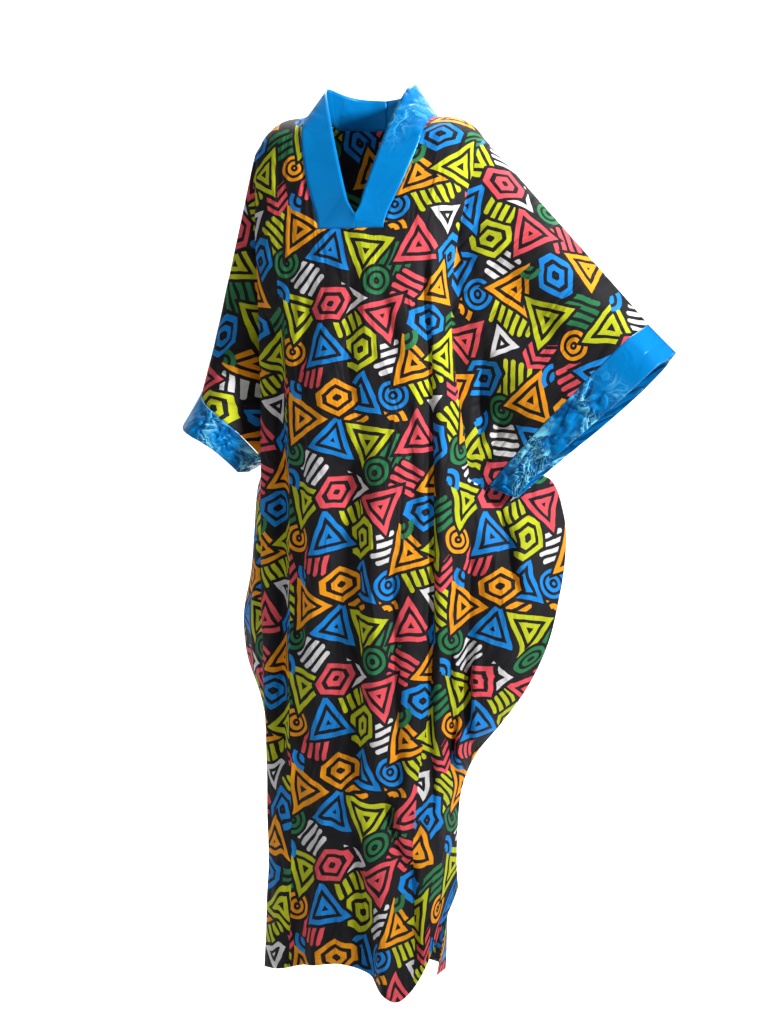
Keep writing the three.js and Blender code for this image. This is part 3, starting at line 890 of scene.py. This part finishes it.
def figure_shape(t, near, figure):
    """Where one figure has its strokes, and where it leaves what was there before."""
    kind, turn, size = figure["kind"], -figure["turn"], figure["size"] * MM
    if kind in ("bars", "chevron"):
        x = t.vector("DOT_PRODUCT", near, direction(turn))
        y = t.vector("DOT_PRODUCT", near, direction(turn + 90))
    if kind == "bars":
        cell = t.math("DIVIDE", x, PITCH)
        aside = t.math("MULTIPLY_ADD", t.math("FRACT", cell), PITCH, -PITCH / 2)
        middle = t.math("ABSOLUTE", t.math("ADD", t.math("FLOOR", cell), 0.5))
        reach = t.math("MULTIPLY_ADD", middle, -BAR_STEP, size * BAR_REACH)
        beyond = t.math("MAXIMUM", t.math("SUBTRACT", t.math("ABSOLUTE", y), reach), 0.0)
        away = t.math("MULTIPLY_ADD", beyond, beyond, t.math("MULTIPLY", aside, aside))
        within = t.math("LESS_THAN", middle, size / PITCH)
        stroke = t.math("MULTIPLY", t.math("LESS_THAN", away, (STROKE / 2) ** 2), within)
        ground = t.math("MULTIPLY", t.math("LESS_THAN", beyond, STROKE), within)
        return stroke, t.math("SUBTRACT", 1.0, ground)
    if kind == "chevron":
        bent = t.math("MULTIPLY_ADD", t.math("ABSOLUTE", x), CHEVRON_SLOPE, y)
        wide = t.math("LESS_THAN", t.math("ABSOLUTE", x), size * CHEVRON_WIDE)
        ground = t.math("MULTIPLY", wide, t.math("LESS_THAN", t.math("ABSOLUTE", bent), size))
        ring = t.math("FRACT", t.math("DIVIDE", bent, PITCH * CHEVRON_PITCH))
        stroke = t.math("MULTIPLY", t.math("LESS_THAN", ring, CHEVRON_INKED), ground)
        return stroke, t.math("SUBTRACT", 1.0, ground)
    pitch, thick = PITCH, STROKE
    if kind == "triangle":
        sides = [t.vector("DOT_PRODUCT", near, direction(turn + 90 + 120 * i)) for i in range(3)]
        reach = t.math("MAXIMUM", t.math("MAXIMUM", sides[0], sides[1]), sides[2])
    elif kind == "hexagon":
        sides = []
        for i, wide in enumerate(HEXAGON_SIDES):
            toward = [wide * v for v in direction(turn + 90 + 60 * i)]
            sides.append(t.math("ABSOLUTE", t.vector("DOT_PRODUCT", near, toward)))
        reach = t.math("MAXIMUM", t.math("MAXIMUM", sides[0], sides[1]), sides[2])
    else:
        reach = t.vector("LENGTH", near)
        if kind == "circle":
            pitch, thick = PITCH * RING_PITCH, STROKE * RING_STROKE
    inside = t.math("SUBTRACT", size, reach)
    ring = t.math("LESS_THAN", t.math("MODULO", inside, pitch), thick)
    if kind == "arcs":
        ahead = t.vector("DOT_PRODUCT", near, direction(turn))
        fan = t.math("GREATER_THAN", ahead, t.math("MULTIPLY", reach, ARC_FAN))
        band = t.math("COMPARE", inside, PITCH * ARC_BAND, PITCH * ARC_BAND)
        ground = t.math("MULTIPLY", band, fan)
        return t.math("MULTIPLY", ring, ground), t.math("SUBTRACT", 1.0, ground)
    stroke = t.math("MULTIPLY", ring, t.math("GREATER_THAN", inside, 0.0))
    return stroke, t.math("LESS_THAN", inside, -CLEAR)


def finish_material(name, roughness):
    material = bpy.data.materials.new(name)
    material.use_nodes = True
    shade = material.node_tree.nodes["Principled BSDF"]
    shade.inputs["Roughness"].default_value = roughness
    return material, Tree(material.node_tree), shade


def print_cotton():
    """Black cotton with a bright repeat of triangles, rings, bars and arcs."""
    material, t, shade = finish_material("print cotton", 0.78)
    shade.inputs["Specular IOR Level"].default_value = 0.3
    laid = t.vector("DIVIDE", t.node("ShaderNodeUVMap", uv_map="Cloth").outputs["UV"], [PRINT_SCALE] * 3)
    wander = t.vector("SUBTRACT", t.noise(laid, 42, 1)["Color"], (0.5, 0.5, 0.5))
    place = t.vector("ADD", laid, t.vector("MULTIPLY", wander, (WANDER, WANDER, 0)))
    size = (REPEAT[0] * MM, REPEAT[1] * MM, 1)
    repeats = t.vector("DIVIDE", place, size)
    inks = list(INK)
    ink = 0.0
    for figure in FIGURES:
        off = (0.5 - figure["x"] / REPEAT[0], 0.5 - figure["y"] / REPEAT[1], 0)
        part = t.vector("FRACTION", t.vector("ADD", repeats, off))
        near = t.vector("MULTIPLY_ADD", part, size, (-size[0] / 2, -size[1] / 2, 0))
        stroke, kept = figure_shape(t, near, figure)
        left = t.math("MULTIPLY", ink, kept)
        ink = t.math("MULTIPLY_ADD", stroke, inks.index(figure["ink"]) / len(inks), left)
    dyed = t.node("ShaderNodeValToRGB")
    dyed.color_ramp.interpolation = "CONSTANT"
    dyed.color_ramp.elements.remove(dyed.color_ramp.elements[1])
    dyed.color_ramp.elements[0].color = INK["ground"]
    for i, name in enumerate(inks[1:], start=1):
        dyed.color_ramp.elements.new((i - 0.5) / len(inks)).color = INK[name]
    t.put(dyed.inputs["Fac"], ink)
    # The dye is a little uneven, the yarn shows, and the cloth is faintly rumpled.
    uneven = t.noise(laid, 34, 3)["Fac"]
    yarn = t.noise(t.vector("MULTIPLY", laid, (1, 0.3, 1)), 1500, 2)["Fac"]
    faded = t.math("MULTIPLY_ADD", uneven, 0.42, t.math("MULTIPLY_ADD", yarn, 0.3, 0.5))
    t.put(shade.inputs["Base Color"], t.vector("SCALE", dyed.outputs["Color"], scale=faded))
    rumple = t.bump(t.noise(t.vector("MULTIPLY", laid, (1, 0.32, 1)), 28, 2, 0.8)["Fac"], 0.01)
    t.put(shade.inputs["Normal"], t.bump(yarn, 0.00025, rumple))
    t.put(shade.inputs["Roughness"], t.math("MULTIPLY_ADD", uneven, 0.2, 0.66))
    return material


def blue_satin(name, fold_size, fold_depth, painted_light_share, along_strip, limp_from, limp_to):
    """Blue satin whose creases, with highlights painted along them and shade painted in their hollows, begin
    between two places along the strip.
    """
    material, t, shade = finish_material(name, 0.33)
    shade.inputs["Specular IOR Level"].default_value = 0.5
    shade.inputs["Specular Tint"].default_value = linear(120, 215, 255)
    laid = t.node("ShaderNodeUVMap", uv_map="Cloth").outputs["UV"]
    limp = t.rise(t.vector("DOT_PRODUCT", laid, along_strip), limp_from, limp_to)
    along = t.vector("MULTIPLY", laid, (0.72, 1, 1))
    folds = t.noise(along, 1 / fold_size, 1.5, 1.3)["Fac"]
    fine = t.noise(along, 2.3 / fold_size, 1, 1.8)["Fac"]
    painted_highlight_patch = t.rise(t.noise(laid, 0.34 / fold_size, 1)["Fac"], 0.4, 0.62)

    def crest(value, soft):
        """A painted highlight where a fold begins, sharp at one side and soft at the other."""
        return t.math("MULTIPLY", t.rise(value, 0.49, 0.52), t.rise(value, 0.52 + soft, 0.52))

    # Painted highlights: bright lines along the folds, in patches, where the satin is limp.
    lines = t.math("MAXIMUM", crest(folds, 0.11), t.math("MULTIPLY", crest(fine, 0.16), 0.55))
    painted_glint = t.math("MULTIPLY", t.math("MULTIPLY", lines, painted_highlight_patch), t.math("MULTIPLY", limp, painted_light_share))
    # Painted shade: the blue darkens in the hollows of the folds, most where the satin is limp.
    painted_hollow_shade = t.math("MULTIPLY", t.rise(folds, 0.58, 0.4), t.math("MULTIPLY_ADD", limp, 0.5 * painted_light_share, 0.08))
    # The satin's own blue, and a darker blue that is painted shade.
    body = t.blend(painted_hollow_shade, linear(0, 122, 194), linear(0, 70, 136))
    # Painted highlights: the blue turns pale cyan along the bright lines.
    t.put(shade.inputs["Base Color"], t.blend(painted_glint, body, linear(136, 232, 255)))
    height = t.math("MULTIPLY", folds, t.math("MULTIPLY_ADD", limp, 0.8, 0.2))
    t.put(shade.inputs["Normal"], t.bump(height, fold_depth))
    return material


LIMP_FROM = 0.2  # the share of the way to the underarm at which the cuff's folds begin
LIMP_GROWS = 0.25  # and over which they grow
CRUMPLE_ROUND = 6.5  # the size of the cuff's folds, in stations round it
CRUMPLE_DEEP = 30  # and across it, in millimetres
CRUMPLE_RISE = 7.5  # how high a fold's crest stands above the cloth beside it
CRUMPLE_LOW = 3.0  # and how low that cloth lies


def crumple(i, step, way):
    """The sharp small folds of limp satin, in millimetres outwards."""
    place = Vector((i / CRUMPLE_ROUND, step / CRUMPLE_DEEP, 11.0 * way))
    bend = Vector((noise.noise(place * 0.6), noise.noise(place * 0.6 + Vector((9, 4, 2))), 0))
    sharp = 1 - abs(noise.noise(place + bend * 1.6)) * 2.4
    return CRUMPLE_RISE * max(sharp, 0.0) - CRUMPLE_LOW


def drawn_cuff(way, stations, rows):
    """The cuff as a closed loop of points: the front from the top to the underarm, then the back."""
    arm = ARMS[way]
    along_top, along_low = Vector(arm["along"]), Vector(arm["along_low"])
    parts = [SEAM_LOW * smooth(i / stations) for i in range(stations + 1)]
    loop = [("front", p) for p in parts] + [("back", p) for p in parts[-2::-1]]
    grid = []
    for r in range(rows + 1):
        step = CUFF_DEPTH * r / rows
        line = []
        for i, (face, part) in enumerate(loop):
            along = along_top.lerp(along_low, smooth(part)).normalized()
            reach = mix(step, step * CUFF_LOW, smooth(part)) + CUFF_CLEAR * part**4
            point = cuff_point(face, way, part) + along * reach
            limp = smooth(clamp((part - LIMP_FROM) / LIMP_GROWS))
            limp *= math.sin(math.pi * clamp(step / CUFF_DEPTH * 0.9 + 0.1))
            point.y += OUT[face] * crumple(i, step, way) * limp
            line.append(tuple(point))
        grid.append(line)
    return np.array(grid)


# The upper edge of the neck band, from the middle of the back to the middle of the V.
BAND_TOP = table(
    "station x y z",
    [
        (0, 0, 68, 46),
        (1, 28, 63, 48),
        (2, 50, 48, 50),
        (3, 66, 26, 54),
        (4, 73, 8, 57),
        (5, 75, -6, 57),
        (6, 74, -18, 53),
        (7, 70, -32, 43),
        (8, 61, -50, 18),
        (9, 47, -72, -24),
        (10, 31, -93, -77),
        (11, 15, -109, -130),
        (12, 10, -114, -147),
        (13, 5, -117, -157),
        (14, 0, -120, -166),
    ],
)
FRONT_NECK_DROPS = table(
    "station drop", [(5, 0), (6, 5.9), (7, 17.7), (8, 38.9), (9, 72), (10, 123.9), (11, NECK_DROP)]
)
# Where the band's lower edge turns, by the stations above.
NAPE_CORNER = 3
SHOULDER_TOP = 5
V_CORNER = 11
V_MIDDLE = 14
SWAY_FROM = 6  # the station from which the upper edge leans to the left


def neck_point(face, way, drop, column=NECK):
    return cloth_line(face, way, drop, [column])[0]


def neck_edge(way, station):
    """A point of the edge of the neck opening, from the middle of the back to the middle of the V."""
    if station <= NAPE_CORNER:
        return neck_point("back", way, NAPE_DROP, station / NAPE_CORNER)
    if station <= SHOULDER_TOP:
        up = (station - NAPE_CORNER) / (SHOULDER_TOP - NAPE_CORNER)
        return neck_point("back", way, mix(NAPE_DROP, 0, up))
    if station <= V_CORNER:
        return neck_point("front", way, read(FRONT_NECK_DROPS, "drop", "station", station))
    corner = neck_point("front", way, NECK_DROP).x
    x = mix(V_SWAY, corner, 1 - (station - V_CORNER) / (V_MIDDLE - V_CORNER))
    side = RIGHT if x < 0 else LEFT
    return neck_point("front", side, NECK_DROP, x / neck_point("front", side, NECK_DROP).x)


def drawn_band(way, finer, rows):
    """Half of the neck band: a row of points from its lower to its upper edge at each station."""
    grid = []
    for i in range(V_MIDDLE * finer + 1):
        station = i / finer
        low = neck_edge(way, station)
        top = Vector([read(BAND_TOP, key, "station", station) for key in "xyz"])
        top.x = way * top.x + V_SWAY * smooth(clamp((station - SWAY_FROM) / (V_MIDDLE - SWAY_FROM)))
        grid.append([tuple(low.lerp(top, k / rows)) for k in range(rows + 1)])
    return np.array(grid)


def plain_places(points):
    """A plain strip of cloth laid flat."""
    down = np.zeros(points.shape[:2])
    down[1:] = np.cumsum(np.linalg.norm(np.diff(points, axis=0), axis=2), axis=0)
    across = np.zeros(points.shape[:2])
    across[:, 1:] = np.cumsum(np.linalg.norm(np.diff(points, axis=1), axis=2), axis=1)
    layout = np.zeros((points.shape[0] - 1, points.shape[1] - 1), int)
    return [np.stack([across, -down], axis=2) * MM], layout


def thread_cotton(name, colour):
    """Sewing thread, whose twist just shows."""
    material, t, shade = finish_material(name, 0.6)
    shade.inputs["Base Color"].default_value = colour
    place = t.node("ShaderNodeTexCoord").outputs["Object"]
    twist = t.noise(place, 1800, 2, dimensions="3D")["Fac"]
    t.put(shade.inputs["Normal"], t.bump(twist, 0.0001))
    return material


def outer_line(points, spots, out, lift):
    """Places just above the outer face of a sheet, at spots given as a row and a column."""
    rows, columns = points.shape[:2]
    line = []
    for row, column in spots:
        r = min(int(row), rows - 2)
        c = min(int(column), columns - 2)
        a, b = row - r, column - c
        over = points[r, c] * (1 - b) + points[r, c + 1] * b
        under = points[r + 1, c] * (1 - b) + points[r + 1, c + 1] * b
        across = (points[r, c + 1] - points[r, c]) * (1 - a) + (points[r + 1, c + 1] - points[r + 1, c]) * a
        normal = Vector(np.cross(under - over, across)).normalized()
        line.append((Vector(over * (1 - a) + under * a) + normal * out * lift, normal * out))
    return line


def stitches(name, lines, material):
    """Short stitches along each line, as one piece."""
    shape = Matrix.Diagonal([size * MM for size in THREAD] + [1])
    bm = bmesh.new()
    for line in lines:
        gone = 0.0
        for (start, up), (end, _) in zip(line, line[1:]):
            along = end - start
            length = along.length
            while gone < length and length > 0:
                forward = along / length
                side = up.cross(forward).normalized()
                square = Matrix((forward, side, forward.cross(side))).transposed().to_4x4()
                place = Matrix.Translation((start + forward * gone) * MM)
                bmesh.ops.create_icosphere(bm, subdivisions=1, radius=1, matrix=place @ square @ shape)
                gone += STITCH
            gone -= length
    return finished_piece(name, bm, material)


SIDE_CELLS = 5  # the rows of stitching stay this many cells in from a panel's sides
ABOVE = 0.1  # how far the stitches' middle lies above the cloth
CUFF_CELLS = (130, 20)  # round the front or the back of a cuff, and across it
BAND_CELLS = (8, 10)  # along the neck band from station to station, and across it


def sew_panel(face, cotton):
    """The printed front or back, and the lines of stitching along its hem and slits."""
    points = softened(creased(panel_grid(face), face), 1)
    layouts, layout = flat_places(points)
    if face == "back":
        layouts = [places * (-1, 1) + BACK_PRINT for places in layouts]
    kept = kept_cells(face)
    piece = sheet(f"printed_{face}", points, layouts, layout, kept, face == "front", CLOTH, cotton)
    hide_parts(f"{face}_panel", f"{face}_side_left", f"{face}_side_right")
    last = len(DROPS) - 1
    hem_row = last - HEM / (DROPS[last] - DROPS[last - 1])
    sides = (SIDE_CELLS, points.shape[1] - 1 - SIDE_CELLS)
    lines = [[(hem_row, column) for column in np.linspace(*sides, 140)]]
    for column in sides:
        lines.append([(row, column) for row in np.linspace(DROPS.index(SLIT_DROP), hem_row, 40)])
    return piece, [outer_line(points, spots, -OUT[face], CLOTH + ABOVE) for spots in lines]


def satin_strip(name, points, way, satin):
    """A strip of doubled satin, with all its cells."""
    kept = np.ones((points.shape[0] - 1, points.shape[1] - 1), bool)
    piece = sheet(name, points, *plain_places(points), kept, way < 0, BAND_CLOTH, satin)
    return piece


def sew_cuff(side, way, satin):
    """A cuff, and the lines of stitching along both its edges."""
    points = drawn_cuff(way, *CUFF_CELLS)
    piece = satin_strip(f"satin_cuff_{side}", points, way, satin)
    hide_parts(f"cuff_{side}")
    around = np.linspace(2, points.shape[1] - 3, 300)
    lines = [[(row, column) for column in around] for row in (1, CUFF_CELLS[1] - 1)]
    return piece, [outer_line(points, spots, -way, BAND_CLOTH + ABOVE) for spots in lines]


def sew_neck_band(side, way, satin):
    """Half of the neck band, and the line of stitching along its lower edge."""
    points = drawn_band(way, *BAND_CELLS)
    piece = satin_strip(f"satin_neck_{side}", points, way, satin)
    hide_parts(f"neck_band_{side}")
    spots = [(row, 0.5) for row in np.linspace(1, points.shape[0] - 2, 160)]
    return piece, [outer_line(points, spots, -way, BAND_CLOTH + ABOVE)]


print_cloth = print_cotton()
# Each satin has highlights painted along its folds and shade painted in their hollows. The cuffs have the
# most painted highlight, the crinkled half of the neck band less, and the smooth half very little.
limp_satin = blue_satin("limp blue satin", 0.028, 0.007, 1.5, (1, 0, 0), 0.09, 0.17)
neck_satin = {
    LEFT: blue_satin("crinkled blue satin", 0.034, 0.003, 0.42, (0, 1, 0), -0.28, -0.2),
    RIGHT: blue_satin("smooth blue satin", 0.06, 0.002, 0.06, (0, 1, 0), -0.28, -0.2),
}
pieces = []
cotton_seams = []
satin_seams = []
for face in ("front", "back"):
    piece, lines = sew_panel(face, print_cloth)
    pieces.append(piece)
    cotton_seams += lines
for side, way in (("left", LEFT), ("right", RIGHT)):
    for piece, lines in (sew_cuff(side, way, limp_satin), sew_neck_band(side, way, neck_satin[way])):
        pieces.append(piece)
        satin_seams += lines
hem_stitches = stitches("hem_stitches", cotton_seams, thread_cotton("black thread", linear(24, 22, 28)))
band_stitches = stitches("band_stitches", satin_seams, thread_cotton("blue thread", linear(0, 96, 178)))
for piece in pieces + [hem_stitches, band_stitches]:
    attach(piece, "root")

# The floor that sweeps up behind, the lights and the camera, in metres.
FLOOR = -1.8
FLOOR_FRONT = -9.0
WALL = 5.8
WALL_HIGH = 9.0
BEND = 1.3
BEND_STEPS = 24
SWEEP_WIDE = 24
ROOM_LIGHT = 0.2


def sweep():
    """One plain white sheet: the floor, a bend and the wall behind."""
    profile = [(FLOOR_FRONT, 0.0), (0.0, 0.0)]
    for i in range(BEND_STEPS + 1):
        angle = math.pi / 2 * i / BEND_STEPS
        profile.append((WALL - BEND + BEND * math.sin(angle), BEND - BEND * math.cos(angle)))
    profile.append((WALL, WALL_HIGH))
    bm = bmesh.new()
    bmesh.ops.create_grid(bm, x_segments=1, y_segments=len(profile) - 1, size=0.5)
    for vert in bm.verts:
        y, z = profile[round((vert.co.y + 0.5) * (len(profile) - 1))]
        vert.co = (vert.co.x * SWEEP_WIDE, y, z + FLOOR)
    material, _, shade = finish_material("plain floor", 0.9)
    shade.inputs["Base Color"].default_value = (0.8, 0.8, 0.8, 1)
    return finished_piece("floor", bm, material)


sweep()

world = bpy.data.worlds.new("studio")
world.use_nodes = True
world.node_tree.nodes["Background"].inputs["Color"].default_value = (1, 1, 1, 1)
world.node_tree.nodes["Background"].inputs["Strength"].default_value = ROOM_LIGHT
bpy.context.scene.world = world


def soft_light(name, place, target, size, power, spread):
    """A square lamp of a size in metres and a power in watts, its spread in degrees."""
    lamp = bpy.data.lights.new(name, "AREA")
    lamp.size = size
    lamp.spread = math.radians(spread)
    lamp.energy = power
    made = put_in_scene(name, lamp)
    made.location = place
    made.rotation_euler = (Vector(target) - Vector(place)).to_track_quat("-Z", "Y").to_euler()


soft_light("key light", (3.5, -1.3, 1.0), (0, 0, -0.15), 0.5, 20, 50)
soft_light("fill light", (-1.6, -3.4, 0.8), (0, 0, -0.5), 1.8, 1.2, 60)
soft_light("high light", (0.7, -1.7, 1.7), (0.1, 0, -0.2), 0.5, 0.6, 60)
soft_light("backdrop light", (-0.9, 3.0, 3.8), (-0.5, 5.6, -0.4), 3.6, 580, 180)
soft_light("floor light", (-0.2, 2.3, 3.6), (0, 2.6, -1.8), 2.6, 150, 120)

AZIMUTH = math.radians(19.65)
PITCH_DOWN = math.radians(2.93)
CAMERA_AWAY = 2.875
AIM_RIGHT = 0.0188
AIM_UP = -0.6487
lens = bpy.data.cameras.new("camera")
lens.sensor_width = 36
lens.lens = 60.17
lens.clip_start = 0.05
camera = put_in_scene("camera", lens)
right = Vector((math.cos(AZIMUTH), math.sin(AZIMUTH), 0))
back = Vector(
    (
        math.sin(AZIMUTH) * math.cos(PITCH_DOWN),
        -math.cos(AZIMUTH) * math.cos(PITCH_DOWN),
        math.sin(PITCH_DOWN),
    )
)
up = back.cross(right)
aim = Vector((AIM_RIGHT * math.cos(AZIMUTH), AIM_RIGHT * math.sin(AZIMUTH), AIM_UP))
turn = Matrix((right, up, back)).transposed().to_4x4()
camera.matrix_world = Matrix.Translation(aim + back * CAMERA_AWAY) @ turn
bpy.context.scene.camera = camera
bpy.context.scene.view_settings.view_transform = "Standard"
